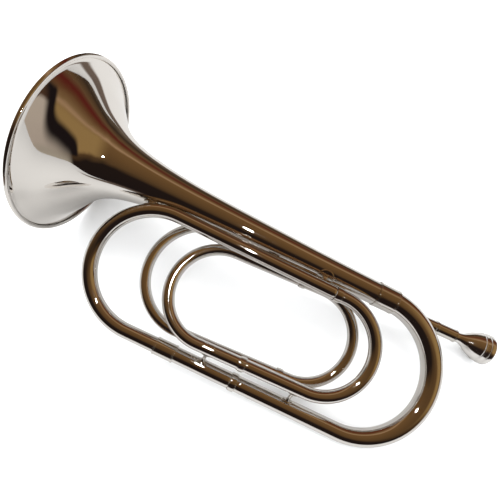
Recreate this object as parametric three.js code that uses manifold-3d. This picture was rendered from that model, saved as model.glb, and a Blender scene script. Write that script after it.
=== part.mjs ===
// Three-turn coiled bugle, millimetres.
// The instrument is laid out in its own frame: X runs along the bell axis from the mouth towards the
// right-hand bows, -Y goes across the coil, and -Z goes down through its layers. At the end the whole
// group is turned so that it rests on its bell rim, its bell bow and its mouthpiece.
import * as THREE from "three";
import Module from "manifold-3d";

// ---- overall sizes ----
const BELL_MOUTH_RADIUS = 72.8; // sheet edge, inside the curled bead
const BELL_LENGTH = 288; // mouth plane to the end of the stem, hidden in the ferrule
const DRAWN_LENGTH = 288; // the bell length that every station along X below is given for
const STRETCH = BELL_LENGTH / DRAWN_LENGTH;
const stretched = (x) => x * STRETCH;
const REFERENCE_X = [100, 300].map(stretched); // where each straight run's offset is given
const WALL = 0.8; // sheet thickness of the tubing
const GAP = 0.3; // soldered joints: space left between neighbouring pieces
const ROUND = 2 * Math.PI;

// ---- the coil: six straight runs after the bell stem, joined by six bows ----
// y is the offset from the bell axis at the two reference stations, z the depth of the layer.
const RUNS = [
  { name: "bell", y: [0, 0], z: 0 },
  { name: "bottom", y: [-116, -113.2], z: 6 },
  { name: "top", y: [-16, -16], z: 16.5 },
  { name: "front", y: [-100.2, -92.9], z: 18 },
  { name: "upper_inner", y: [-24.4, -14.4], z: 4.5 },
  { name: "back", y: [-101.35, -90.35], z: 5 },
  { name: "lead", y: [-8.8, -2.8], z: -19 },
];
const BOW_CENTRE_X = [293.1, 108.7, 254.7, 163.5, 240.7, 143.4].map(stretched);
const BOW_STEP = Math.PI / 15; // angle of one facet along a bow

// ---- tube radius at the two ends of each straight run, bell end first ----
const TUBE_RADIUS = [
  [9.85, 9.7],
  [6.72, 6.05],
  [5.5, 5.45],
  [5.05, 4.96],
  [4.78, 4.52],
  [4.45, 4.42],
  [4.42, 4.3],
];
const TUBE_SIDES = 14;

// ---- bell: outer radius by distance from the mouth ----
const BELL_PROFILE = [
  [3, 69.6],
  [8, 61.4],
  [14, 53.4],
  [22, 43.6],
  [30, 35.2],
  [38, 29.6],
  [47, 25.6],
  [60, 22],
  [80, 18.6],
  [110, 15.6],
  [150, 13.6],
  [200, 11.9],
  [250, 10.5],
].map(([x, radius]) => [stretched(x), radius]);
const BELL_SIDES = 40;
const BELL_SHEET = 0.7;
const RIM_WIRE_RADIUS = 0.7;
const RIM_WIRE_SIDES = 6;
const CURL_STEPS = 5;
const CURL_SWEEP = 1.35 * Math.PI;

// ---- joints along the coil: run, station and half length of the sleeve ----
const JOINTS = [
  { name: "bell_ferrule", run: "bell", x: DRAWN_LENGTH + GAP / 2, half: 8.8, proud: 0.3 },
  { name: "bottom_ring", run: "bottom", x: 203.9, half: 2.6, proud: 0.2 },
  { name: "bottom_ferrule", run: "bottom", x: 144.4, half: 8.6, proud: 0.3 },
  { name: "top_ring", run: "top", x: 247.9, half: 2.6, proud: 0.2 },
  { name: "front_ring", run: "front", x: 203.1, half: 2.6, proud: 0.2 },
  { name: "upper_inner_ring", run: "upper_inner", x: 220.5, half: 2.6, proud: 0.2 },
  { name: "back_ring", run: "back", x: 234.2, half: 2.6, proud: 0.2 },
  { name: "lead_ring", run: "lead", x: 168.5, half: 2.6, proud: 0.2 },
];
const SLEEVE_WALL = 0.4;
const SLEEVE_SIDES = 28;
const BEAD_WIDTH = 1.2;
const BEAD_SPACE = 4; // a sleeve at least this long on each side carries a bead at both ends

// ---- the tube pieces between the joints, in order from the bell ----
const TUBES = [
  { name: "bell_bow", from: "bell_ferrule", to: "bottom_ring" },
  { name: "bottom_tube", from: "bottom_ring", to: "bottom_ferrule" },
  { name: "left_outer_bow", from: "bottom_ferrule", to: "top_ring" },
  { name: "right_middle_bow", from: "top_ring", to: "front_ring" },
  { name: "left_inner_bow", from: "front_ring", to: "upper_inner_ring" },
  { name: "right_inner_bow", from: "upper_inner_ring", to: "back_ring" },
  { name: "left_back_bow", from: "back_ring", to: "lead_ring" },
  { name: "leadpipe", from: "lead_ring", to: "receiver" },
];

// ---- receiver and mouthpiece, along the line of the leadpipe ----
const LEADPIPE_END = stretched(338.5);
const RECEIVER = {
  start: LEADPIPE_END - 5.8,
  end: LEADPIPE_END + 26.1,
  bore: 4.85,
  radius: 5.45,
  collar: LEADPIPE_END + 7.6,
  collarHalf: 1.1,
};
const COLLAR_PROUD = 0.6;
const LIP_PROUD = 0.35;
const MOUTHPIECE_FACE = LEADPIPE_END + 56.6; // station of the flat land of the rim
// distance behind the rim face, radius: outside from the shank tip to the rim, then back down the cup
const MOUTHPIECE_OUTSIDE = [
  [56, 4.2],
  [30, 4.5],
  [25.5, 4.8],
  [22.5, 5.9],
  [18.5, 8.4],
  [14, 10.7],
  [9.6, 12],
  [9.2, 12.9],
  [8.2, 12.9],
  [7.8, 12.3],
  [5, 12.5],
  [4.6, 13.5],
  [1, 13.5],
  [0, 12.8],
];
const MOUTHPIECE_INSIDE = [
  [0, 10.4],
  [1, 9],
  [3, 8.3],
  [9, 7.2],
  [14, 4.6],
  [17.5, 1.95],
  [21, 1.95],
  [56, 3.3],
];
const MOUTHPIECE_SIDES = 24;

// ---- braces: a waisted post with a curved oval foot on each of two neighbouring tubes ----
// feet holds each oval's half length along its tube and half width round it, at a and then at b.
const SMALL_FOOT = [4.2, 3.2];
const LAYER_FOOT = [5, 3];
const SADDLE_FOOT = [6.5, 3.4];
const BRACES = [
  { name: "bell_saddle", a: "bell", b: "outer_bow_top", x: 82, feet: [SADDLE_FOOT, SADDLE_FOOT], post: 2.6 },
  { name: "bell_brace", a: "bell", b: "top", x: 234.5, feet: [[7, 8], SADDLE_FOOT], post: 2 },
  { name: "left_post", a: "bottom", b: "front", x: 175.2, feet: [SMALL_FOOT, SMALL_FOOT], post: 1.7 },
  { name: "right_post", a: "bottom", b: "front", x: 248.3, feet: [SMALL_FOOT, SMALL_FOOT], post: 1.7 },
  { name: "upper_layer_brace", a: "top", b: "upper_inner", x: 190, feet: [LAYER_FOOT, LAYER_FOOT], post: 2.2 },
  { name: "lower_layer_brace", a: "front", b: "back", x: 219, feet: [LAYER_FOOT, LAYER_FOOT], post: 2.2 },
  { name: "leadpipe_brace", a: "bell", b: "lead", x: 264, feet: [SADDLE_FOOT, SADDLE_FOOT], post: 2 },
];
const FOOT_SHEET = 0.8;
const FOOT_SIDES = 9;
const POST_SIDES = 8;
const WAIST = 0.72; // post radius at its middle, as a share of its ends
const ROD_HALF = 16; // half length of the rods that shape a brace's feet

const NICKEL = { color: 0xc9c4ba, roughness: 0.08, metalness: 1 };

const wasm = await Module();
wasm.setup();

const group = new THREE.Group();
const meshes = {};

function addMesh(name, geometry) {
  const mesh = new THREE.Mesh(geometry, new THREE.MeshStandardMaterial(NICKEL));
  mesh.name = name;
  meshes[name] = mesh;
  group.add(mesh);
  return mesh;
}

// ---- manifold helpers ----
const WELD = 0.001; // corners closer than this are one corner

function solidOf(geometry) {
  const source = geometry.index ? geometry.toNonIndexed() : geometry;
  const position = source.getAttribute("position");
  const keys = new Map();
  const corners = [];
  const triangles = [];
  for (let i = 0; i < position.count; i += 1) {
    const point = [position.getX(i), position.getY(i), position.getZ(i)];
    const key = point.map((value) => Math.round(value / WELD)).join();
    if (!keys.has(key)) {
      keys.set(key, keys.size);
      corners.push(...point);
    }
    triangles.push(keys.get(key));
  }
  const triVerts = [];
  for (let i = 0; i < triangles.length; i += 3) {
    const [a, b, c] = triangles.slice(i, i + 3);
    if (a !== b && b !== c && c !== a) {
      triVerts.push(a, b, c);
    }
  }
  return new wasm.Manifold(
    new wasm.Mesh({
      numProp: 3,
      vertProperties: new Float32Array(corners),
      triVerts: new Uint32Array(triVerts),
    }),
  );
}

function geometryOf(solid) {
  const mesh = solid.getMesh();
  const geometry = new THREE.BufferGeometry();
  geometry.setAttribute("position", new THREE.BufferAttribute(mesh.vertProperties, mesh.numProp));
  geometry.setIndex(new THREE.BufferAttribute(mesh.triVerts, 1));
  return geometry;
}

// ---- centreline of the coil ----
function runLine(run) {
  const slope = (run.y[1] - run.y[0]) / (REFERENCE_X[1] - REFERENCE_X[0]);
  return { slope, y0: run.y[0] - slope * REFERENCE_X[0] };
}

// A bow touches both of its runs: its centre is as far from one as from the other.
function bowBetween(runA, runB, centreX, side) {
  const lines = [runLine(runA), runLine(runB)];
  const weight = lines.map((line) => 1 / Math.hypot(1, line.slope));
  const onLine = lines.map((line) => line.y0 + line.slope * centreX);
  const centreY = (onLine[0] * weight[0] + onLine[1] * weight[1]) / (weight[0] + weight[1]);
  const radius = Math.abs(centreY - onLine[0]) * weight[0];
  const feet = lines.map((line) => {
    const x = (centreX + line.slope * (centreY - line.y0)) / (1 + line.slope * line.slope);
    return new THREE.Vector2(x, line.y0 + line.slope * x);
  });
  const turn = side > 0 ? 0 : Math.PI;
  const angles = feet.map((foot) => {
    const raw = Math.atan2(foot.y - centreY, foot.x - centreX) - turn;
    return turn + Math.atan2(Math.sin(raw), Math.cos(raw));
  });
  return { centreX, centreY, radius, feet, angles, z: [runA.z, runB.z] };
}

function lineSegment(from, to, z, radii) {
  const length = from.distanceTo(to);
  return {
    length,
    radii,
    steps: 1,
    at: (t) => new THREE.Vector3(from.x + (to.x - from.x) * t, from.y + (to.y - from.y) * t, z),
  };
}

function arcSegment(bow, radii) {
  const sweep = bow.angles[1] - bow.angles[0];
  return {
    length: Math.abs(sweep) * bow.radius,
    radii,
    steps: Math.ceil(Math.abs(sweep) / BOW_STEP),
    at: (t) => {
      const angle = bow.angles[0] + sweep * t;
      const drop = t * t * (3 - 2 * t);
      return new THREE.Vector3(
        bow.centreX + bow.radius * Math.cos(angle),
        bow.centreY + bow.radius * Math.sin(angle),
        bow.z[0] + (bow.z[1] - bow.z[0]) * drop,
      );
    },
  };
}

function onRun(name, x) {
  const run = RUNS.find((candidate) => candidate.name === name);
  const line = runLine(run);
  return new THREE.Vector3(x, line.y0 + line.slope * x, run.z);
}

function buildCoil() {
  const segments = [];
  const starts = {};
  let travelled = 0;
  let from = new THREE.Vector2(0, 0);
  RUNS.forEach((run, i) => {
    const bow =
      i < RUNS.length - 1 ? bowBetween(run, RUNS[i + 1], BOW_CENTRE_X[i], i % 2 ? -1 : 1) : null;
    const end = onRun(run.name, MOUTHPIECE_FACE);
    const to = bow ? bow.feet[0] : new THREE.Vector2(end.x, end.y);
    starts[run.name] = { at: travelled, from, to };
    const line = lineSegment(from, to, run.z, TUBE_RADIUS[i]);
    segments.push({ ...line, start: travelled });
    travelled += line.length;
    if (bow) {
      const arc = arcSegment(bow, [TUBE_RADIUS[i][1], TUBE_RADIUS[i + 1][0]]);
      segments.push({ ...arc, start: travelled });
      travelled += arc.length;
      from = bow.feet[1];
    }
  });
  return { segments, starts, length: travelled };
}

const coil = buildCoil();

const TANGENT_REACH = 0.05; // how far to each side of a place its direction is taken

function segmentAt(s) {
  const found = coil.segments.find((segment) => s <= segment.start + segment.length);
  return found || coil.segments[coil.segments.length - 1];
}

function centreAt(s) {
  const segment = segmentAt(s);
  return segment.at((s - segment.start) / segment.length);
}

function radiusAt(s) {
  if (s < BELL_LENGTH) {
    return bellRadius(s);
  }
  const segment = segmentAt(s);
  return THREE.MathUtils.lerp(...segment.radii, (s - segment.start) / segment.length);
}

function stationOf(run, x) {
  const { at, from, to } = coil.starts[run];
  const point = onRun(run, x);
  return at + Math.hypot(point.x - from.x, point.y - from.y) * Math.sign((to.x - from.x) * (x - from.x));
}

function frameAt(s) {
  const tangent = centreAt(s + TANGENT_REACH).sub(centreAt(s - TANGENT_REACH)).normalize();
  const side = new THREE.Vector3(0, 0, 1).cross(tangent).normalize();
  const up = tangent.clone().cross(side);
  return { tangent, side, up };
}

// Stations of the facets between two places on the coil, none nearer its neighbour than LEAST_FACET.
const LEAST_FACET = 1;

function stationsBetween(s0, s1) {
  const stations = [s0];
  coil.segments.forEach((segment) => {
    for (let i = 0; i <= segment.steps; i += 1) {
      const s = segment.start + (segment.length * i) / segment.steps;
      const last = stations[stations.length - 1];
      if (s > s0 + LEAST_FACET && s < s1 - LEAST_FACET && s - last > LEAST_FACET) {
        stations.push(s);
      }
    }
  });
  stations.push(s1);
  return stations;
}

// A lathed body whose height runs along the coil is carried onto the centreline.
function bendOntoCoil(geometry) {
  const position = geometry.getAttribute("position");
  const point = new THREE.Vector3();
  for (let i = 0; i < position.count; i += 1) {
    point.fromBufferAttribute(position, i);
    const { side, up } = frameAt(point.y);
    const placed = centreAt(point.y).addScaledVector(up, point.x).addScaledVector(side, point.z);
    position.setXYZ(i, placed.x, placed.y, placed.z);
  }
  return geometry;
}

function lathe(profile, sides) {
  const points = profile.map(([height, radius]) => new THREE.Vector2(radius, height));
  return new THREE.LatheGeometry([...points, points[0]], sides);
}

function tubeProfile(s0, s1, outerAdd, innerAdd) {
  const stations = stationsBetween(s0, s1);
  const outer = stations.map((s) => [s, radiusAt(s) + outerAdd]);
  const inner = stations.map((s) => [s, radiusAt(s) + innerAdd]).reverse();
  return [...outer, ...inner];
}

// ---- tubes ----
const jointStation = Object.fromEntries(
  JOINTS.map((joint) => [joint.name, stationOf(joint.run, stretched(joint.x))]),
);
jointStation.receiver = stationOf("lead", LEADPIPE_END);

TUBES.forEach(({ name, from, to }) => {
  const s0 = jointStation[from] + GAP / 2;
  const s1 = jointStation[to] - GAP / 2;
  addMesh(name, bendOntoCoil(lathe(tubeProfile(s0, s1, 0, -WALL), TUBE_SIDES)));
});

// ---- sleeves over the joints ----
function sleeveProfile(centre, half, proud) {
  const start = centre - half;
  const end = centre + half;
  const inside = GAP;
  const skin = GAP + SLEEVE_WALL;
  const crest = skin + proud;
  const steps = [[start, inside]];
  if (half > BEAD_SPACE) {
    steps.push([start, crest], [start + BEAD_WIDTH, crest], [start + BEAD_WIDTH, skin]);
    steps.push([end - BEAD_WIDTH, skin], [end - BEAD_WIDTH, crest], [end, crest]);
  } else {
    steps.push([start, skin], [centre - BEAD_WIDTH / 2, crest], [centre + BEAD_WIDTH / 2, crest], [end, skin]);
  }
  steps.push([end, inside]);
  return steps.map(([s, add]) => [s, radiusAt(s) + add]);
}

JOINTS.forEach(({ name, half, proud }) => {
  const profile = sleeveProfile(jointStation[name], half, proud);
  addMesh(name, bendOntoCoil(lathe(profile, SLEEVE_SIDES)));
});

// ---- bell with its edge curled round a wire ----
function bellRadius(x) {
  const table = [[0, BELL_MOUTH_RADIUS], ...BELL_PROFILE, [BELL_LENGTH, TUBE_RADIUS[0][0]]];
  const next = table.findIndex(([station]) => station >= x);
  if (next <= 0) {
    return table[0][1];
  }
  const [x0, r0] = table[next - 1];
  const [x1, r1] = table[next];
  return THREE.MathUtils.lerp(r0, r1, (x - x0) / (x1 - x0));
}

const curlRadius = RIM_WIRE_RADIUS + GAP;
const curlCentre = [curlRadius + BELL_SHEET, BELL_MOUTH_RADIUS + curlRadius];

function curlArc(radius) {
  const points = [];
  for (let i = 0; i <= CURL_STEPS; i += 1) {
    const angle = Math.PI + (CURL_SWEEP * i) / CURL_STEPS;
    points.push([
      curlCentre[0] + radius * Math.cos(angle),
      curlCentre[1] - radius * Math.sin(angle),
    ]);
  }
  return points;
}

function bellProfile() {
  const stations = BELL_PROFILE.map(([x]) => x);
  const outer = stations.map((x) => [x, bellRadius(x)]).reverse();
  const inner = BELL_PROFILE.map(([x, r]) => {
    const slope = (bellRadius(x - 1) - bellRadius(x + 1)) / 2;
    return [x, r - BELL_SHEET * Math.hypot(1, slope)];
  });
  const stemEnd = TUBE_RADIUS[0][0];
  const edge = curlArc(curlRadius);
  const back = curlArc(curlRadius + BELL_SHEET).reverse();
  return [
    [BELL_LENGTH, stemEnd],
    ...outer,
    ...edge,
    ...back,
    ...inner,
    [BELL_LENGTH, stemEnd - WALL],
  ].reverse();
}

function ontoBellAxis(geometry) {
  return geometry.rotateZ(-Math.PI / 2);
}

addMesh("bell", ontoBellAxis(lathe(bellProfile(), BELL_SIDES)));

const wireProfile = Array.from({ length: RIM_WIRE_SIDES }, (_, i) => {
  const angle = (-ROUND * i) / RIM_WIRE_SIDES;
  return [
    curlCentre[0] + RIM_WIRE_RADIUS * Math.cos(angle),
    curlCentre[1] + RIM_WIRE_RADIUS * Math.sin(angle),
  ];
});
addMesh("bell_rim_wire", ontoBellAxis(lathe(wireProfile, BELL_SIDES)));

// ---- receiver and mouthpiece ----
const receiverProfile = [
  [RECEIVER.start, RECEIVER.radius],
  [RECEIVER.collar - RECEIVER.collarHalf, RECEIVER.radius],
  [RECEIVER.collar - RECEIVER.collarHalf, RECEIVER.radius + COLLAR_PROUD],
  [RECEIVER.collar + RECEIVER.collarHalf, RECEIVER.radius + COLLAR_PROUD],
  [RECEIVER.collar + RECEIVER.collarHalf, RECEIVER.radius],
  [RECEIVER.end - BEAD_WIDTH, RECEIVER.radius],
  [RECEIVER.end - BEAD_WIDTH, RECEIVER.radius + LIP_PROUD],
  [RECEIVER.end, RECEIVER.radius + LIP_PROUD],
  [RECEIVER.end, RECEIVER.bore],
  [RECEIVER.start, RECEIVER.bore],
].map(([x, r]) => [stationOf("lead", x), r]);
addMesh("receiver", bendOntoCoil(lathe(receiverProfile, TUBE_SIDES)));

const faceStation = stationOf("lead", MOUTHPIECE_FACE);
const mouthpieceProfile = [...MOUTHPIECE_OUTSIDE, ...MOUTHPIECE_INSIDE].map(([behind, r]) => [
  faceStation - behind,
  r,
]);
addMesh("mouthpiece", bendOntoCoil(lathe(mouthpieceProfile, MOUTHPIECE_SIDES)));

// ---- braces ----
function rodAlongCoil(s, add) {
  const stations = stationsBetween(s - ROD_HALF, s + ROD_HALF);
  const profile = [
    [stations[0], 0],
    ...stations.map((station) => [station, radiusAt(station) + add]),
    [stations[stations.length - 1], 0],
  ];
  const points = profile.map(([height, radius]) => new THREE.Vector2(radius, height));
  return solidOf(bendOntoCoil(new THREE.LatheGeometry(points, TUBE_SIDES)));
}

function rodAlongBell(x, add) {
  const ends = [x - ROD_HALF, x, x + ROD_HALF];
  const points = [
    new THREE.Vector2(0, ends[0]),
    ...ends.map((station) => new THREE.Vector2(bellRadius(station) + add, station)),
    new THREE.Vector2(0, ends[2]),
  ];
  return solidOf(ontoBellAxis(new THREE.LatheGeometry(points, BELL_SIDES)));
}

// Where a brace stands on a tube: the nearest place, its axis and its rod.
function standOn(name, x) {
  if (name === "bell") {
    return {
      centre: new THREE.Vector3(x, 0, 0),
      axis: new THREE.Vector3(1, 0, 0),
      radius: bellRadius(x),
      rod: (add) => rodAlongBell(x, add),
    };
  }
  const s = name === "outer_bow_top" ? bowTopStation(x) : stationOf(name, x);
  return {
    centre: centreAt(s),
    axis: frameAt(s).tangent,
    radius: radiusAt(s),
    rod: (add) => rodAlongCoil(s, add),
  };
}

// The place near the top of the left outer bow that lies at the given station.
const BOW_TOP_REACH = 80;
const BOW_TOP_STEP = 0.5;

function bowTopStation(x) {
  const end = coil.starts.top.at;
  let best = end;
  for (let s = end; s > end - BOW_TOP_REACH; s -= BOW_TOP_STEP) {
    if (Math.abs(centreAt(s).x - x) < Math.abs(centreAt(best).x - x)) {
      best = s;
    }
  }
  return best;
}

function ovalPrism(centre, along, axis, foot, reach) {
  const outline = new THREE.Shape();
  outline.absellipse(0, 0, foot[0], foot[1], 0, ROUND);
  const geometry = new THREE.ExtrudeGeometry(outline, {
    depth: reach,
    bevelEnabled: false,
    curveSegments: FOOT_SIDES,
  });
  const across = along.clone().cross(axis).normalize();
  const matrix = new THREE.Matrix4().makeBasis(across.clone().cross(along), across, along);
  matrix.setPosition(centre);
  return solidOf(geometry.applyMatrix4(matrix));
}

function waistedPost(from, to, radius) {
  const length = from.distanceTo(to);
  const points = [
    new THREE.Vector2(0, 0),
    new THREE.Vector2(radius, 0),
    new THREE.Vector2(radius * WAIST, length / 2),
    new THREE.Vector2(radius, length),
    new THREE.Vector2(0, length),
  ];
  const geometry = new THREE.LatheGeometry(points, POST_SIDES);
  const turn = new THREE.Quaternion().setFromUnitVectors(
    new THREE.Vector3(0, 1, 0),
    to.clone().sub(from).normalize(),
  );
  geometry.applyQuaternion(turn);
  return solidOf(geometry.translate(from.x, from.y, from.z));
}

function makeBrace({ a, b, x, feet, post }) {
  const ends = [standOn(a, stretched(x)), standOn(b, stretched(x))];
  const along = ends[1].centre.clone().sub(ends[0].centre).normalize();
  const directions = [along, along.clone().negate()];
  const parts = ends.map((end, i) => {
    const reach = end.radius + GAP + FOOT_SHEET;
    const shell = end.rod(GAP + FOOT_SHEET);
    return shell.intersect(ovalPrism(end.centre, directions[i], end.axis, feet[i], reach));
  });
  const surfaces = ends.map((end, i) =>
    end.centre.clone().addScaledVector(directions[i], end.radius - GAP),
  );
  const solid = parts[0].add(parts[1]).add(waistedPost(...surfaces, post));
  return solid.subtract(ends[0].rod(GAP)).subtract(ends[1].rod(GAP));
}

BRACES.forEach((brace) => {
  addMesh(brace.name, geometryOf(makeBrace(brace)));
});

// ---- rest pose: bell rim, bell bow and mouthpiece on one floor ----
const SUPPORTS = ["bell", "bell_bow", "mouthpiece"];
const SETTLE_PASSES = 12;

function lowestCorner(mesh) {
  const position = mesh.geometry.getAttribute("position");
  const point = new THREE.Vector3();
  const lowest = new THREE.Vector3(0, 0, Infinity);
  for (let i = 0; i < position.count; i += 1) {
    point.fromBufferAttribute(position, i).applyMatrix4(mesh.matrixWorld);
    if (point.z < lowest.z) {
      lowest.copy(point);
    }
  }
  return lowest;
}

function settle(object) {
  const up = new THREE.Vector3(0, 0, 1);
  for (let pass = 0; pass < SETTLE_PASSES; pass += 1) {
    object.updateMatrixWorld(true);
    const feet = SUPPORTS.map((name) => lowestCorner(meshes[name]));
    const normal = feet[1].clone().sub(feet[0]).cross(feet[2].clone().sub(feet[0])).normalize();
    if (normal.z < 0) {
      normal.negate();
    }
    object.quaternion.premultiply(new THREE.Quaternion().setFromUnitVectors(normal, up));
  }
  object.updateMatrixWorld(true);
  const box = new THREE.Box3().setFromObject(object, true);
  const middle = box.getCenter(new THREE.Vector3());
  object.position.set(-middle.x, -middle.y, -box.min.z);
}

group.name = "bugle";
settle(group);

export default group;
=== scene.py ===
"""Looks of a three-turn coiled bugle in polished nickel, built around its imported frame."""

import math

import bpy
import numpy as np
from mathutils import Euler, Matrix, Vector


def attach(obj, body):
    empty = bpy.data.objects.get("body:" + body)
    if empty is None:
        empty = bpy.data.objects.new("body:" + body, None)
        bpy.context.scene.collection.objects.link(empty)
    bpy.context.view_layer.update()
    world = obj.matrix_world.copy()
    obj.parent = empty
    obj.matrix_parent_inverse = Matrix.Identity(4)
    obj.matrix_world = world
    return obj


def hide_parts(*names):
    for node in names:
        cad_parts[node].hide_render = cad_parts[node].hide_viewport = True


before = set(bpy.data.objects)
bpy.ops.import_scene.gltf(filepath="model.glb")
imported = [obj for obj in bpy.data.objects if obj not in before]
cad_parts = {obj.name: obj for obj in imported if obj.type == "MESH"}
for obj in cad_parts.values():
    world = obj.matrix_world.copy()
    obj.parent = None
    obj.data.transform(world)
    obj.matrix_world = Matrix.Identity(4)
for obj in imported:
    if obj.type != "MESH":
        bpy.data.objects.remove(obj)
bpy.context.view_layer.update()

# ---- the instrument's own frame, millimetres: X along the bell axis from the mouth, -Y across
# the coil, -Z down through its layers. It is turned and moved into the row frame.
TURN = [math.radians(20.68428), math.radians(6.42898), math.radians(0.86716)]
SHIFT = Vector((-191.78586, 19.93124, 75.14379))
MM = 0.001

# ---- overall sizes ----
BELL_MOUTH_RADIUS = 72.8
BELL_LENGTH = 288.0
REFERENCE_X = (100.0, 300.0)
WALL = 0.8
GAP = 0.3

# ---- the coil: name, offsets at the two reference stations, depth of the layer ----
RUNS = [
    ("bell", (0.0, 0.0), 0.0),
    ("bottom", (-116.0, -113.2), 6.0),
    ("top", (-16.0, -16.0), 16.5),
    ("front", (-100.2, -92.9), 18.0),
    ("upper_inner", (-24.4, -14.4), 4.5),
    ("back", (-101.35, -90.35), 5.0),
    ("lead", (-8.8, -2.8), -19.0),
]
BOW_CENTRE_X = [293.1, 108.7, 254.7, 163.5, 240.7, 143.4]
TUBE_RADIUS = [
    (9.85, 9.7),
    (6.72, 6.05),
    (5.5, 5.45),
    (5.05, 4.96),
    (4.78, 4.52),
    (4.45, 4.42),
    (4.42, 4.3),
]
TUBE_SIDES = 56
BOW_STEP = math.radians(3)
RUN_STEP = 6.0

# ---- bell: outer radius by distance from the mouth ----
BELL_PROFILE = [
    (0.0, 75.5),
    (3.0, 69.6),
    (8.0, 61.4),
    (14.0, 53.4),
    (22.0, 43.6),
    (30.0, 35.2),
    (38.0, 29.6),
    (47.0, 25.6),
    (60.0, 22.0),
    (80.0, 18.6),
    (110.0, 15.6),
    (150.0, 13.6),
    (200.0, 11.9),
    (250.0, 10.5),
    (288.0, 9.85),
]
BELL_STRETCH = 6.0  # added to a station before its logarithm, so that the flare gets more rings
BELL_STATIONS = 110
BELL_SIDES = 160
BELL_SHEET = 0.7
RIM_WIRE_RADIUS = 0.7
CURL_STEPS = 22
CURL_SWEEP = 1.35 * math.pi

# ---- sleeves over the joints: name, run, station, half length, proud edge ----
JOINTS = [
    ("bell_ferrule", "bell", BELL_LENGTH + GAP / 2, 8.8, 0.3),
    ("bottom_ring", "bottom", 203.9, 2.6, 0.2),
    ("bottom_ferrule", "bottom", 144.4, 8.6, 0.3),
    ("top_ring", "top", 247.9, 2.6, 0.2),
    ("front_ring", "front", 203.1, 2.6, 0.2),
    ("upper_inner_ring", "upper_inner", 220.5, 2.6, 0.2),
    ("back_ring", "back", 234.2, 2.6, 0.2),
    ("lead_ring", "lead", 168.5, 2.6, 0.2),
]
SLEEVE_WALL = 0.4
BEAD_WIDTH = 1.2
BEAD_SPACE = 4.0

TUBES = [
    ("bell_bow", "bell_ferrule", "bottom_ring"),
    ("bottom_tube", "bottom_ring", "bottom_ferrule"),
    ("left_outer_bow", "bottom_ferrule", "top_ring"),
    ("right_middle_bow", "top_ring", "front_ring"),
    ("left_inner_bow", "front_ring", "upper_inner_ring"),
    ("right_inner_bow", "upper_inner_ring", "back_ring"),
    ("left_back_bow", "back_ring", "lead_ring"),
    ("leadpipe", "lead_ring", "receiver"),
]

# ---- receiver and mouthpiece, along the line of the leadpipe ----
LEADPIPE_END = 338.5
RECEIVER_START = 332.7
RECEIVER_END = 364.6
RECEIVER_BORE = 4.85
RECEIVER_RADIUS = 5.45
COLLAR_X = 346.1
COLLAR_HALF = 1.1
COLLAR_PROUD = 0.6
LIP_PROUD = 0.35
MOUTHPIECE_FACE = 395.1
# distance behind the rim face and radius
CUP_OUTSIDE = [(30.0, 4.5), (25.5, 4.8), (22.5, 5.9), (18.5, 8.4), (14.0, 10.7), (9.6, 12.0)]
BANDS = [(9.2, 12.9), (8.2, 12.9), (7.8, 12.3), (5.0, 12.5), (4.6, 13.5)]
CROWN = [
    (1.3, 13.5),
    (0.3, 12.9),
    (0.0, 11.8),
    (0.15, 10.6),
    (1.0, 9.1),
    (3.0, 8.3),
    (9.0, 7.2),
    (14.0, 4.6),
    (17.5, 1.95),
]
THROAT_END = 21.0
SHANK_TIP = 56.0
SHANK_TIP_RADIUS = 4.2
BACKBORE_RADIUS = 3.3
MOUTHPIECE_SIDES = 96

# ---- braces: name, the two tubes, station, half sizes of the two oval feet, post radius ----
SMALL_FOOT = (4.2, 3.2)
LAYER_FOOT = (5.0, 3.0)
SADDLE_FOOT = (6.5, 3.4)
BRACES = [
    ("bell_saddle", "bell", "outer_bow_top", 82.0, (SADDLE_FOOT, SADDLE_FOOT), 2.6),
    ("bell_brace", "bell", "top", 234.5, ((7.0, 8.0), SADDLE_FOOT), 2.0),
    ("left_post", "bottom", "front", 175.2, (SMALL_FOOT, SMALL_FOOT), 1.7),
    ("right_post", "bottom", "front", 248.3, (SMALL_FOOT, SMALL_FOOT), 1.7),
    ("upper_layer_brace", "top", "upper_inner", 190.0, (LAYER_FOOT, LAYER_FOOT), 2.2),
    ("lower_layer_brace", "front", "back", 219.0, (LAYER_FOOT, LAYER_FOOT), 2.2),
    ("leadpipe_brace", "bell", "lead", 264.0, (SADDLE_FOOT, SADDLE_FOOT), 2.0),
]
FOOT_SHEET = 0.8
BRACE_SIDES = 48
WAIST = 0.72
FILLET = 0.9

EDGE_ROUND = 0.16
ROUND_STEPS = 4
CORNER_TURN = math.radians(25)  # an outline turning less than this is left as it is
TANGENT_REACH = 0.05
LEAST_FACET = 1.0
BOW_TOP_REACH = 80.0
BOW_TOP_STEP = 0.5

# ---- camera at the photograph's viewing angle ----
CAMERA_PLACE = (0.017297, -0.117149, 0.320226)
CAMERA_TURN = [math.radians(a) for a in (25.75518, -4.25947, 24.7111)]
FOCAL_SHARE = 0.72  # focal length over the width of the frame
SENSOR = 36.0
CAMERA_SHIFT = (-0.00964, 0.00491)

SLOT_OF = {
    "bell": "bell_nickel",
    "bell_rim_wire": "rim_wire",
    "mouthpiece": "mouthpiece_nickel",
}


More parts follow.
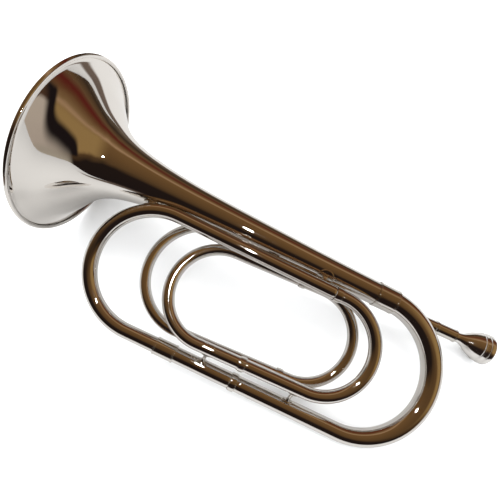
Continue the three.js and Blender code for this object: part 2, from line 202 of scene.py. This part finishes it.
# ---- small curves ----
def spline(xs, ys):
    """Natural cubic spline through the points; returns a function."""
    xs = np.asarray(xs, float)
    ys = np.asarray(ys, float)
    h = np.diff(xs)
    n = len(xs)
    system = np.eye(n)
    right = np.zeros(n)
    for i in range(1, n - 1):
        system[i, i - 1 : i + 2] = h[i - 1], 2 * (h[i - 1] + h[i]), h[i]
        right[i] = 6 * ((ys[i + 1] - ys[i]) / h[i] - (ys[i] - ys[i - 1]) / h[i - 1])
    bend = np.linalg.solve(system, right)

    def at(x):
        x = np.asarray(x, float)
        i = np.clip(np.searchsorted(xs, x) - 1, 0, n - 2)
        a = (xs[i + 1] - x) / h[i]
        b = 1 - a
        cubic = ((a**3 - a) * bend[i] + (b**3 - b) * bend[i + 1]) * h[i] ** 2 / 6
        return a * ys[i] + b * ys[i + 1] + cubic

    return at


def smooth_through(points, per=7):
    """Points along a spline through the given plane points."""
    points = np.asarray(points, float)
    chord = np.concatenate([[0], np.cumsum(np.hypot(*np.diff(points, axis=0).T))])
    t = np.linspace(0, chord[-1], per * (len(points) - 1) + 1)
    return list(zip(spline(chord, points[:, 0])(t), spline(chord, points[:, 1])(t)))


def rounded(points, radius=EDGE_ROUND):
    """A closed outline with each sharp corner turned into a small arc with support points."""
    points = [np.array(p, float) for p in points]
    made = []
    for i, corner in enumerate(points):
        back = points[i - 1] - corner
        on = points[(i + 1) % len(points)] - corner
        lengths = np.linalg.norm(back), np.linalg.norm(on)
        back, on = back / lengths[0], on / lengths[1]
        turn = math.pi - math.acos(float(np.clip(back @ on, -1, 1)))
        if turn < CORNER_TURN:
            made.append(tuple(corner))
            continue
        reach = min(radius * math.tan(turn / 2), 0.4 * min(lengths))
        start, end = corner + back * reach, corner + on * reach
        if lengths[0] > 6 * reach:
            made.append(tuple(corner + back * reach * 2))
        for k in range(ROUND_STEPS + 1):
            t = k / ROUND_STEPS
            middle = (1 - t) ** 2 * start + 2 * t * (1 - t) * corner + t * t * end
            made.append(tuple(middle))
        if lengths[1] > 6 * reach:
            made.append(tuple(corner + on * reach * 2))
    return made


bell_curve = spline(
    [math.log(x + BELL_STRETCH) for x, _ in BELL_PROFILE], [r for _, r in BELL_PROFILE]
)


def bell_radius(x):
    return float(bell_curve(math.log(max(x, 0) + BELL_STRETCH)))


# ---- centreline of the coil ----
def run_line(offsets):
    slope = (offsets[1] - offsets[0]) / (REFERENCE_X[1] - REFERENCE_X[0])
    return slope, offsets[0] - slope * REFERENCE_X[0]


def bow_between(a, b, centre_x, side):
    """The bow that touches both runs: its centre is as far from one as from the other."""
    lines = [run_line(a[1]), run_line(b[1])]
    weight = [1 / math.hypot(1, slope) for slope, _ in lines]
    on_line = [y0 + slope * centre_x for slope, y0 in lines]
    centre_y = sum(y * w for y, w in zip(on_line, weight)) / sum(weight)
    radius = abs(centre_y - on_line[0]) * weight[0]
    turn = 0 if side > 0 else math.pi
    feet, angles = [], []
    for slope, y0 in lines:
        x = (centre_x + slope * (centre_y - y0)) / (1 + slope * slope)
        feet.append(np.array([x, y0 + slope * x]))
        raw = math.atan2(feet[-1][1] - centre_y, x - centre_x) - turn
        angles.append(turn + math.atan2(math.sin(raw), math.cos(raw)))
    return centre_x, centre_y, radius, feet, angles, (a[2], b[2])


def straight(start, end, z, radii):
    def at(t):
        x, y = start + (end - start) * t
        return np.array([x, y, z])

    length = float(np.linalg.norm(end - start))
    steps = max(1, round(length / RUN_STEP))
    return {"length": length, "radii": radii, "steps": steps, "at": at}


def bent(bow, radii):
    cx, cy, radius, _, angles, z = bow
    sweep = angles[1] - angles[0]

    def at(t):
        angle = angles[0] + sweep * t
        drop = t * t * (3 - 2 * t)
        x, y = cx + radius * math.cos(angle), cy + radius * math.sin(angle)
        return np.array([x, y, z[0] + (z[1] - z[0]) * drop])

    steps = math.ceil(abs(sweep) / BOW_STEP)
    return {"length": abs(sweep) * radius, "radii": radii, "steps": steps, "at": at}


def on_run(name, x):
    run = next(r for r in RUNS if r[0] == name)
    slope, y0 = run_line(run[1])
    return np.array([x, y0 + slope * x])


def build_coil():
    segments, starts = [], {}
    travelled = 0.0
    start = np.zeros(2)

    def add(segment):
        nonlocal travelled
        segment["start"] = travelled
        segments.append(segment)
        travelled += segment["length"]

    for i, run in enumerate(RUNS):
        last = i == len(RUNS) - 1
        bow = None if last else bow_between(run, RUNS[i + 1], BOW_CENTRE_X[i], -1 if i % 2 else 1)
        end = on_run(run[0], MOUTHPIECE_FACE) if last else bow[3][0]
        starts[run[0]] = (travelled, start, end)
        add(straight(start, end, run[2], TUBE_RADIUS[i]))
        if not last:
            add(bent(bow, (TUBE_RADIUS[i][1], TUBE_RADIUS[i + 1][0])))
            start = bow[3][1]
    return segments, starts


segments, run_starts = build_coil()


def segment_at(s):
    for segment in segments:
        if s <= segment["start"] + segment["length"]:
            return segment
    return segments[-1]


def centre_at(s):
    segment = segment_at(s)
    return segment["at"]((s - segment["start"]) / segment["length"])


def radius_at(s):
    if s < BELL_LENGTH:
        return bell_radius(s)
    segment = segment_at(s)
    t = (s - segment["start"]) / segment["length"]
    return segment["radii"][0] * (1 - t) + segment["radii"][1] * t


def station_of(run, x):
    at, start, end = run_starts[run]
    point = on_run(run, x)
    way = np.sign((end[0] - start[0]) * (x - start[0]))
    return at + float(np.linalg.norm(point - start)) * way


def frame_at(s):
    """Direction of the centreline, and the two directions across it."""
    tangent = centre_at(s + TANGENT_REACH) - centre_at(s - TANGENT_REACH)
    tangent /= np.linalg.norm(tangent)
    side = np.cross([0, 0, 1], tangent)
    side /= np.linalg.norm(side)
    return tangent, side, np.cross(tangent, side)


def stations_between(s0, s1):
    """Stations of the rings between two places, none nearer its neighbour than LEAST_FACET."""
    stations = [s0]
    for segment in segments:
        for i in range(segment["steps"] + 1):
            s = segment["start"] + segment["length"] * i / segment["steps"]
            inside = s0 + LEAST_FACET < s < s1 - LEAST_FACET
            if inside and s - stations[-1] > LEAST_FACET:
                stations.append(s)
    return stations + [s1]


def bow_top_station(x):
    """The place near the top of the left outer bow that lies at the given station."""
    end = run_starts["top"][0]
    stations = np.arange(end - BOW_TOP_REACH, end, BOW_TOP_STEP)
    return min(stations, key=lambda s: abs(centre_at(s)[0] - x))


# ---- mesh making ----
ROTATION = Euler(TURN, "XYZ").to_matrix()


def to_row(points):
    turned = np.asarray(points, float) @ np.array(ROTATION).T
    return (turned + np.array(SHIFT)) * MM


def make_piece(node, verts, faces):
    """A closed, smooth-shaded mesh that stands for the CAD node of that name."""
    verts = to_row(verts)
    volume = 0.0
    for face in faces:
        a = verts[face[0]]
        for b, c in zip(face[1:-1], face[2:]):
            volume += float(a @ np.cross(verts[b], verts[c]))
    if volume < 0:
        faces = [tuple(reversed(face)) for face in faces]
    mesh = bpy.data.meshes.new(node + "_finish")
    mesh.from_pydata(verts.tolist(), [], faces)
    mesh.validate()
    mesh.shade_smooth()
    piece = bpy.data.objects.new(node + "_finish", mesh)
    bpy.context.scene.collection.objects.link(piece)
    slot = SLOT_OF.get(node)
    if slot is None and node in {j[0] for j in JOINTS} | {"receiver"}:
        slot = "ferrule_nickel"
    if slot is None and node in {b[0] for b in BRACES}:
        slot = "brace_nickel"
    slot = slot or "tube_nickel"
    mesh.materials.append(MATERIALS[slot])
    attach(piece, "mouthpiece" if node == "mouthpiece" else "horn")
    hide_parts(node)
    return piece


def ring_faces(rings, sides, closed):
    faces = []
    for i in range(rings if closed else rings - 1):
        for j in range(sides):
            a, b = i * sides, (i + 1) % rings * sides
            k = (j + 1) % sides
            faces.append((a + j, a + k, b + k, b + j))
    return faces


def revolve(node, profile, sides, place):
    """Turns a closed outline of (station, radius) round the line that place() follows."""
    angles = np.linspace(0, 2 * math.pi, sides, endpoint=False)
    verts = []
    for s, r in profile:
        centre, side, up = place(s)
        verts.extend(centre + r * (math.cos(a) * up + math.sin(a) * side) for a in angles)
    return make_piece(node, verts, ring_faces(len(profile), sides, True))


def along_coil(s):
    _, side, up = frame_at(s)
    return centre_at(s), side, up


def along_bell(x):
    return np.array([x, 0.0, 0.0]), np.array([0.0, 1.0, 0.0]), np.array([0.0, 0.0, 1.0])


# ---- bell ----
def curl_arc(radius):
    centre = RIM_WIRE_RADIUS + GAP + BELL_SHEET, BELL_MOUTH_RADIUS + RIM_WIRE_RADIUS + GAP
    points = []
    for i in range(CURL_STEPS + 1):
        angle = math.pi + CURL_SWEEP * i / CURL_STEPS
        points.append((centre[0] + radius * math.cos(angle), centre[1] - radius * math.sin(angle)))
    return points


def make_bell():
    """Flared sheet bell, its edge curled outwards round the wire."""
    curl_end = BELL_PROFILE[1][0]
    spread = np.linspace(
        math.log(curl_end + BELL_STRETCH), math.log(BELL_LENGTH + BELL_STRETCH), BELL_STATIONS
    )
    stations = [math.exp(t) - BELL_STRETCH for t in spread]
    outer = [(x, bell_radius(x)) for x in reversed(stations)]
    inner = []
    for x in stations:
        slope = bell_radius(x - 0.5) - bell_radius(x + 0.5)
        inner.append((x, bell_radius(x) - BELL_SHEET * math.hypot(1, slope)))
    curl = RIM_WIRE_RADIUS + GAP
    profile = outer + curl_arc(curl) + curl_arc(curl + BELL_SHEET)[::-1] + inner
    return revolve("bell", profile, BELL_SIDES, along_bell)


def make_rim_wire(sides=12):
    """Steel wire inside the curl."""
    x = RIM_WIRE_RADIUS + GAP + BELL_SHEET
    r = BELL_MOUTH_RADIUS + RIM_WIRE_RADIUS + GAP
    angles = [2 * math.pi * i / sides for i in range(sides)]
    profile = [
        (x + RIM_WIRE_RADIUS * math.cos(a), r + RIM_WIRE_RADIUS * math.sin(a)) for a in angles
    ]
    return revolve("bell_rim_wire", profile, BELL_SIDES, along_bell)


# ---- tubes and sleeves ----
def make_tubes():
    ends = {name: station_of(run, x) for name, run, x, _, _ in JOINTS}
    ends["receiver"] = station_of("lead", LEADPIPE_END)
    for name, first, last in TUBES:
        stations = stations_between(ends[first] + GAP / 2, ends[last] - GAP / 2)
        outer = [(s, radius_at(s)) for s in stations]
        inner = [(s, radius_at(s) - WALL) for s in reversed(stations)]
        revolve(name, outer + inner, TUBE_SIDES, along_coil)


def sleeve_outline(centre, half, proud):
    start, end = centre - half, centre + half
    skin = GAP + SLEEVE_WALL
    crest = skin + proud
    steps = [(start, GAP)]
    if half > BEAD_SPACE:
        steps += [(start, crest), (start + BEAD_WIDTH, crest), (start + BEAD_WIDTH, skin)]
        steps += [(end - BEAD_WIDTH, skin), (end - BEAD_WIDTH, crest), (end, crest)]
    else:
        steps += [(start, skin), (centre - BEAD_WIDTH / 2, crest)]
        steps += [(centre + BEAD_WIDTH / 2, crest), (end, skin)]
    steps.append((end, GAP))
    return [(s, radius_at(s) + add) for s, add in steps]


def make_sleeves():
    for name, run, x, half, proud in JOINTS:
        outline = sleeve_outline(station_of(run, x), half, proud)
        revolve(name, rounded(outline), TUBE_SIDES, along_coil)


# ---- receiver and mouthpiece ----
def make_receiver():
    """Socket with a collar, a lip at its open end."""
    lip = RECEIVER_RADIUS + LIP_PROUD
    collar = RECEIVER_RADIUS + COLLAR_PROUD
    outline = [
        (RECEIVER_START, RECEIVER_RADIUS),
        (COLLAR_X - COLLAR_HALF, RECEIVER_RADIUS),
        (COLLAR_X - COLLAR_HALF, collar),
        (COLLAR_X + COLLAR_HALF, collar),
        (COLLAR_X + COLLAR_HALF, RECEIVER_RADIUS),
        (RECEIVER_END - BEAD_WIDTH, RECEIVER_RADIUS),
        (RECEIVER_END - BEAD_WIDTH, lip),
        (RECEIVER_END, lip),
        (RECEIVER_END, RECEIVER_BORE),
        (RECEIVER_START, RECEIVER_BORE),
    ]
    outline = [(station_of("lead", x), r) for x, r in outline]
    return revolve("receiver", rounded(outline), TUBE_SIDES, along_coil)


def make_mouthpiece():
    """Cup mouthpiece: taper shank, rounded cup, two bands and a rounded rim."""
    face = station_of("lead", MOUTHPIECE_FACE)
    outside = [(SHANK_TIP, SHANK_TIP_RADIUS)] + smooth_through(CUP_OUTSIDE)
    inside = smooth_through(CROWN)
    bore = [(THROAT_END, CROWN[-1][1]), (SHANK_TIP, BACKBORE_RADIUS)]
    outline = rounded(outside + BANDS + inside + bore, 0.3)
    profile = [(face - behind, r) for behind, r in outline]
    return revolve("mouthpiece", profile, MOUTHPIECE_SIDES, along_coil)


# ---- braces ----
def stand_on(name, x):
    if name == "bell":
        return x
    return bow_top_station(x) if name == "outer_bow_top" else station_of(name, x)


def foot_rings(post):
    """(share of the oval, share of the round post, lift over the tube) from the middle out."""
    top = GAP + FOOT_SHEET
    rings = [(0.02, 0, GAP), (0.4, 0, GAP), (0.8, 0, GAP), (0.95, 0, GAP)]
    rings += [(0.985, 0, GAP + 0.05), (1, 0, GAP + 0.16), (1, 0, top - 0.3)]
    rings += [(0.985, 0, top - 0.12), (0.95, 0, top - 0.02), (0.9, 0, top), (0.75, 0.1, top)]
    rings += [(0.4, 0.5, top)]
    for k in range(6):
        angle = math.radians(90 * k / 5)
        grow = 1 + FILLET / post * (1 - math.sin(angle))
        rings.append((0, grow, top + FILLET * (1 - math.cos(angle))))
    return rings


def make_brace(name, a, b, x, feet, post):
    """Waisted post with a curved oval foot soldered to each of two neighbouring tubes."""
    stations = [stand_on(a, x), stand_on(b, x)]
    centres = [centre_at(s) for s in stations]
    along = centres[1] - centres[0]
    distance = float(np.linalg.norm(along))
    along /= distance
    reference = frame_at(stations[0])[0]
    angles = np.linspace(0, 2 * math.pi, BRACE_SIDES, endpoint=False)
    halves = []
    for s, way, foot in zip(stations, (along, -along), feet):
        sign = 1 if frame_at(s)[0] @ reference > 0 else -1
        half = []
        for oval, round_share, lift in foot_rings(post):
            ring = []
            for angle in angles:
                u = (oval * foot[0] + round_share * post) * math.cos(angle)
                v = (oval * foot[1] + round_share * post) * math.sin(angle)
                tangent = frame_at(s + sign * u)[0] * sign
                out = way - (way @ tangent) * tangent
                out /= np.linalg.norm(out)
                across = np.cross(tangent, along)
                across /= np.linalg.norm(across)
                radius = radius_at(s + sign * u) + lift
                wrap = v / radius
                centre = centre_at(s + sign * u)
                ring.append(centre + radius * (math.cos(wrap) * out + math.sin(wrap) * across))
            half.append(np.array(ring))
        halves.append(half)
    top = [halves[0][-1], halves[1][-1]]
    middle = []
    for k in range(1, 8):
        t = k / 8
        narrow = 1 - (1 - WAIST) * math.sin(math.pi * t)
        ring = top[0] * (1 - t) + top[1] * t
        heart = ring.mean(axis=0)
        middle.append(heart + (ring - heart) * narrow)
    rings = halves[0] + middle + halves[1][::-1]
    verts = np.concatenate(rings).tolist()
    faces = ring_faces(len(rings), BRACE_SIDES, False)
    for first, ring, flip in ((0, rings[0], True), (len(verts) - BRACE_SIDES, rings[-1], False)):
        heart = len(verts)
        verts.append(ring.mean(axis=0).tolist())
        for j in range(BRACE_SIDES):
            pair = (first + j, first + (j + 1) % BRACE_SIDES)
            faces.append((heart, *(reversed(pair) if flip else pair)))
    return make_piece(name, verts, faces)


# ---- materials ----
def add_node(tree, kind, links=(), **values):
    """A node with its settings and inputs; links are (input, output socket) pairs."""
    node = tree.nodes.new(kind)
    for key, value in values.items():
        if hasattr(node, key):
            setattr(node, key, value)
        else:
            node.inputs[key.replace("_", " ").strip()].default_value = value
    for name, socket in links:
        tree.links.new(socket, node.inputs[name])
    return node


def ramp_node(tree, factor, stops, interpolation="EASE"):
    node = tree.nodes.new("ShaderNodeValToRGB")
    node.color_ramp.interpolation = interpolation
    elements = node.color_ramp.elements
    while len(elements) > 1:
        elements.remove(elements[-1])
    for i, (position, colour) in enumerate(stops):
        element = elements[0] if i == 0 else elements.new(position)
        element.position = position
        element.color = (*colour, 1) if len(colour) == 3 else colour
    tree.links.new(factor, node.inputs["Fac"])
    return node.outputs["Color"]


def grey(value):
    return (value, value, value)


def polished(name, tint, low, high, wave, scratch):
    """Plated, polished metal: smudged gloss, fine polishing lines and a faint waviness."""
    material = bpy.data.materials.new(name)
    material.use_nodes = True
    tree = material.node_tree
    shader = next(n for n in tree.nodes if n.type == "BSDF_PRINCIPLED")
    shader.inputs["Metallic"].default_value = 1.0
    place = add_node(tree, "ShaderNodeTexCoord").outputs["Object"]
    smudge = add_node(
        tree, "ShaderNodeTexNoise", [("Vector", place)], Scale=55.0, Detail=6.0, Roughness=0.62
    )
    breath = add_node(
        tree, "ShaderNodeTexNoise", [("Vector", place)], Scale=14.0, Detail=3.0, Roughness=0.5
    )
    mixed = add_node(
        tree,
        "ShaderNodeMath",
        [(0, smudge.outputs["Fac"]), (1, breath.outputs["Fac"])],
        operation="MULTIPLY",
    )
    gloss = ramp_node(
        tree, mixed.outputs[0], [(0.16, grey(low)), (0.26, grey((low + high) / 3)), (0.42, grey(high))]
    )
    tree.links.new(gloss, shader.inputs["Roughness"])
    darker = tuple(c * 0.93 for c in tint)
    colour = ramp_node(tree, breath.outputs["Fac"], [(0.35, darker), (0.65, tint)])
    tree.links.new(colour, shader.inputs["Base Color"])
    stretched = add_node(tree, "ShaderNodeMapping", [("Vector", place)])
    stretched.inputs["Scale"].default_value = (0.06, 1.0, 1.0)
    lines = add_node(
        tree,
        "ShaderNodeTexNoise",
        [("Vector", stretched.outputs["Vector"])],
        Scale=2600.0,
        Detail=2.0,
        Roughness=0.5,
    )
    swell = add_node(
        tree, "ShaderNodeTexNoise", [("Vector", place)], Scale=38.0, Detail=1.0, Roughness=0.3
    )
    fine = add_node(
        tree, "ShaderNodeBump", [("Height", lines.outputs["Fac"])], Strength=scratch, Distance=1e-5
    )
    broad = add_node(
        tree,
        "ShaderNodeBump",
        [("Height", swell.outputs["Fac"]), ("Normal", fine.outputs["Normal"])],
        Strength=wave,
        Distance=1e-4,
    )
    tree.links.new(broad.outputs["Normal"], shader.inputs["Normal"])
    return material


# slot: tint, least and greatest roughness, waviness, polishing lines
LOOKS = {
    "bell_nickel": ((0.86, 0.83, 0.79), 0.02, 0.09, 0.5, 0.1),
    "tube_nickel": ((0.84, 0.81, 0.77), 0.025, 0.11, 0.6, 0.12),
    "ferrule_nickel": ((0.84, 0.81, 0.76), 0.03, 0.14, 0.4, 0.15),
    "brace_nickel": ((0.8, 0.77, 0.72), 0.05, 0.2, 0.8, 0.2),
    "mouthpiece_nickel": ((0.95, 0.93, 0.9), 0.12, 0.26, 0.3, 0.1),
    "rim_wire": ((0.5, 0.49, 0.47), 0.25, 0.4, 0.2, 0.5),
}
MATERIALS = {slot: polished(slot + "_look", *look) for slot, look in LOOKS.items()}


def math_node(tree, operation, *values):
    node = tree.nodes.new("ShaderNodeMath")
    node.operation = operation
    for i, value in enumerate(values):
        if isinstance(value, (int, float)):
            node.inputs[i].default_value = value
        else:
            tree.links.new(value, node.inputs[i])
    return node.outputs[0]


def step_node(tree, value, start, end):
    """0 before start, 1 after end, smooth between; start may be the larger."""
    node = tree.nodes.new("ShaderNodeMapRange")
    node.interpolation_type = "SMOOTHSTEP"
    tree.links.new(value, node.inputs["Value"])
    low, high = min(start, end), max(start, end)
    node.inputs["From Min"].default_value = low
    node.inputs["From Max"].default_value = high
    node.inputs["To Min"].default_value = 0.0 if start < end else 1.0
    node.inputs["To Max"].default_value = 1.0 if start < end else 0.0
    return node.outputs["Result"]


def mix_node(tree, factor, a, b):
    node = tree.nodes.new("ShaderNodeMix")
    node.data_type = "RGBA"
    colours = [socket for socket in node.inputs if socket.type == "RGBA"]
    for socket, value in ((node.inputs["Factor"], factor), (colours[0], a), (colours[1], b)):
        if isinstance(value, tuple):
            socket.default_value = (*value, 1)
        elif isinstance(value, (int, float)):
            socket.default_value = value
        else:
            tree.links.new(value, socket)
    return next(socket for socket in node.outputs if socket.type == "RGBA")


def window(tree, value, low, high, edge):
    """1 between low and high with soft edges, 0 outside."""
    inside = step_node(tree, value, low - edge, low + edge)
    return math_node(tree, "MULTIPLY", inside, step_node(tree, value, high + edge, high - edge))


RAMP_SPAN = 280.0  # degrees, half of them to each side of the zenith


def degree_ramp(tree, value, stops):
    """Colours at angles from the zenith."""
    share = math_node(tree, "ADD", math_node(tree, "DIVIDE", value, RAMP_SPAN), 0.5)
    places = [(0.5 + angle / RAMP_SPAN, colour) for angle, colour in stops]
    return ramp_node(tree, share, places, "LINEAR")


# painted reflection, metres: for glossy rays the floor is painted dull pale grey over a strip along X
# and all that lies beyond its end, and painted dark brown elsewhere
PAINTED_STRIP_REACH = 0.6
PAINTED_STRIP_EDGE = 0.06
PAINTED_STRIP_BEYOND = (0.35, 0.6)
PAINTED_PALE_REFLECTION = (0.43, 0.42, 0.41)
PAINTED_DARK_REFLECTION = (0.085, 0.06, 0.045)


def floor_material():
    """Pale paper; for glossy rays its colour is a painted reflection, duller than the paper and
    painted dark brown some way off.
    """
    material = bpy.data.materials.new("pale_paper")
    material.use_nodes = True
    tree = material.node_tree
    shader = next(n for n in tree.nodes if n.type == "BSDF_PRINCIPLED")
    shader.inputs["Roughness"].default_value = 0.85
    shader.inputs["Specular IOR Level"].default_value = 0.1
    place = add_node(tree, "ShaderNodeTexCoord").outputs["Object"]
    mottle = add_node(tree, "ShaderNodeTexNoise", [("Vector", place)], Scale=6.0, Detail=4.0)
    paper = ramp_node(
        tree, mottle.outputs["Fac"], [(0.3, (0.9, 0.9, 0.9)), (0.7, (0.93, 0.93, 0.925))]
    )
    split = add_node(tree, "ShaderNodeSeparateXYZ", [("Vector", place)])
    # painted reflection mask: where glossy rays see the floor painted pale grey rather than dark brown
    sheet = window(tree, split.outputs["Y"], -PAINTED_STRIP_REACH, PAINTED_STRIP_REACH, PAINTED_STRIP_EDGE)
    beyond = step_node(tree, split.outputs["X"], *PAINTED_STRIP_BEYOND)
    painted_pale_mask = math_node(tree, "MAXIMUM", sheet, beyond)
    # painted reflection: what the metal mirrors of the floor is painted dull grey in the strip and
    # beyond its end, dark brown elsewhere
    painted_reflection = mix_node(tree, painted_pale_mask, PAINTED_DARK_REFLECTION, PAINTED_PALE_REFLECTION)
    path = tree.nodes.new("ShaderNodeLightPath")
    colour = mix_node(tree, path.outputs["Is Glossy Ray"], paper, painted_reflection)
    tree.links.new(colour, shader.inputs["Base Color"])
    return material


# ---- studio ----
FLOOR_HALF = 4.0
FLOOR_DROP = 0.0004  # keeps the floor clear of the resting rim
DOME = 1.7  # strength of the pale dome, which lights only matt surfaces
DOME_COLOUR = (0.97, 0.985, 1.0, 1)
BACKDROP_COLOUR = (0.93, 0.93, 0.92, 1)
KEY_PLACE = (-0.5, 0.5, 1.4)
LAMP_PLACE = (0.0017, -0.0621, 0.3019)


def make_floor():
    half = FLOOR_HALF
    mesh = bpy.data.meshes.new("floor")
    corners = [(-half, -half, 0), (half, -half, 0), (half, half, 0), (-half, half, 0)]
    mesh.from_pydata(corners, [], [(0, 1, 2, 3)])
    floor = bpy.data.objects.new("floor", mesh)
    floor.location.z = -FLOOR_DROP
    bpy.context.scene.collection.objects.link(floor)
    mesh.materials.append(floor_material())


def make_light(name, place, size, power, colour=(1, 1, 1), seen=False):
    """A round soft light aimed at the middle of the instrument."""
    light = bpy.data.lights.new(name, "AREA")
    light.shape = "DISK"
    light.size = size
    light.energy = power
    light.color = colour
    lamp = bpy.data.objects.new(name, light)
    lamp.location = place
    aim = Vector((0, 0, 0.04)) - Vector(place)
    lamp.rotation_euler = aim.to_track_quat("-Z", "Y").to_euler()
    lamp.visible_glossy = seen
    lamp.visible_camera = False
    bpy.context.scene.collection.objects.link(lamp)


# linear colours of the room by the angle from the zenith towards +Y, in degrees
CEILING = [
    (-125.5, (0.74, 0.73, 0.7)),
    (-111.5, (0.5, 0.46, 0.42)),
    (-97.5, (0.09, 0.06, 0.045)),
    (-85.5, (0.014, 0.009, 0.008)),
    (-41.5, (0.016, 0.01, 0.008)),
    (-23.5, (0.1, 0.054, 0.022)),
    (-3.5, (0.13, 0.068, 0.026)),
    (22.5, (0.16, 0.085, 0.032)),
    (29.5, (0.36, 0.22, 0.12)),
    (36.5, (0.2, 0.115, 0.05)),
    (46.5, (0.12, 0.048, 0.02)),
    (54.5, (0.1, 0.014, 0.01)),
    (62.5, (0.12, 0.065, 0.03)),
    (74.5, (0.04, 0.025, 0.015)),
    (88.5, (0.13, 0.095, 0.065)),
    (98.5, (0.42, 0.38, 0.32)),
    (110.5, (0.74, 0.72, 0.68)),
]
RIGHT_WALL = [
    (-107.5, (0.78, 0.78, 0.76)),
    (-63.5, (0.74, 0.74, 0.72)),
    (-53.5, (0.42, 0.38, 0.3)),
    (-31.5, (0.36, 0.31, 0.25)),
    (-21.5, (0.42, 0.35, 0.29)),
    (20.5, (0.46, 0.39, 0.32)),
    (25.5, (0.07, 0.035, 0.02)),
    (48.5, (0.09, 0.055, 0.03)),
    (58.5, (0.5, 0.46, 0.4)),
    (102.5, (0.66, 0.64, 0.6)),
]


# soft-edged patches: from, to and edge, in degrees towards +X and towards +Y
GOLD_PATCH = ((40, 92, 14), (-21.5, 26.5, 6))
GOLD = (0.3, 0.185, 0.07)
DARK_PATCH = ((73, 92, 1.5), (-29.5, 42.5, 5))
DARK = (0.012, 0.008, 0.008)
RIGHT_WALL_EDGE = (77, 82)
LEFT_WALL_EDGE = (-60, -90)
LEFT_WALL = (0.42, 0.38, 0.33)
WAVER = 16.0  # degrees by which the edges of the bands wander


def patch(tree, right, up, spans):
    return math_node(
        tree, "MULTIPLY", window(tree, right, *spans[0]), window(tree, up, *spans[1])
    )


def make_world():
    """Brown room with a dark side, a pale right wall and a pale dome that only lights matt things."""
    world = bpy.data.worlds.new("room")
    bpy.context.scene.world = world
    world.use_nodes = True
    tree = world.node_tree
    tree.nodes.clear()
    direction = add_node(tree, "ShaderNodeTexCoord").outputs["Generated"]
    split = add_node(tree, "ShaderNodeSeparateXYZ", [("Vector", direction)])
    x, y, z = (split.outputs[axis] for axis in "XYZ")
    squares = [math_node(tree, "MULTIPLY", axis, axis) for axis in (x, y)]
    flat = math_node(tree, "SQRT", math_node(tree, "ADD", *squares))
    from_zenith = math_node(tree, "MULTIPLY", math_node(tree, "ARCTAN2", flat, z), 180 / math.pi)
    share = math_node(tree, "DIVIDE", from_zenith, math_node(tree, "MAXIMUM", flat, 1e-4))
    wobble = add_node(
        tree, "ShaderNodeTexNoise", [("Vector", direction)], Scale=2.6, Detail=4.0, Roughness=0.55
    )
    centred = math_node(tree, "SUBTRACT", wobble.outputs["Fac"], 0.5)
    shake = math_node(tree, "MULTIPLY", centred, WAVER)
    right = math_node(tree, "MULTIPLY", share, x)
    up = math_node(tree, "ADD", math_node(tree, "MULTIPLY", share, y), shake)
    room = degree_ramp(tree, up, CEILING)
    room = mix_node(tree, patch(tree, right, up, GOLD_PATCH), room, GOLD)
    room = mix_node(tree, patch(tree, right, up, DARK_PATCH), room, DARK)
    wall = degree_ramp(tree, up, RIGHT_WALL)
    room = mix_node(tree, step_node(tree, right, *RIGHT_WALL_EDGE), room, wall)
    room = mix_node(tree, step_node(tree, right, *LEFT_WALL_EDGE), room, LEFT_WALL)
    mirror = add_node(tree, "ShaderNodeBackground", [("Color", room)])
    dome = add_node(tree, "ShaderNodeBackground", Color=DOME_COLOUR, Strength=DOME)
    seen = add_node(tree, "ShaderNodeBackground", Color=BACKDROP_COLOUR)
    path = tree.nodes.new("ShaderNodeLightPath")
    picked = mirror.outputs[0]
    for ray, shade in (("Is Diffuse Ray", dome), ("Is Camera Ray", seen)):
        mixed = tree.nodes.new("ShaderNodeMixShader")
        tree.links.new(path.outputs[ray], mixed.inputs["Fac"])
        tree.links.new(picked, mixed.inputs[1])
        tree.links.new(shade.outputs[0], mixed.inputs[2])
        picked = mixed.outputs[0]
    out = tree.nodes.new("ShaderNodeOutputWorld")
    tree.links.new(picked, out.inputs["Surface"])


def make_camera():
    camera = bpy.data.cameras.new("camera")
    camera.sensor_width = SENSOR
    camera.lens = SENSOR * FOCAL_SHARE
    camera.shift_x, camera.shift_y = CAMERA_SHIFT
    camera.clip_start = 0.01
    holder = bpy.data.objects.new("camera", camera)
    holder.location = CAMERA_PLACE
    holder.rotation_euler = CAMERA_TURN
    bpy.context.scene.collection.objects.link(holder)
    bpy.context.scene.camera = holder


make_camera()
make_world()
make_floor()
make_light("soft_key", KEY_PLACE, 0.9, 12.0)
make_light("small_lamp", LAMP_PLACE, 0.015, 0.06, seen=True)
bpy.context.scene.view_settings.view_transform = "Standard"

make_bell()
make_rim_wire()
make_tubes()
make_sleeves()
make_receiver()
make_mouthpiece()
for brace in BRACES:
    make_brace(*brace)
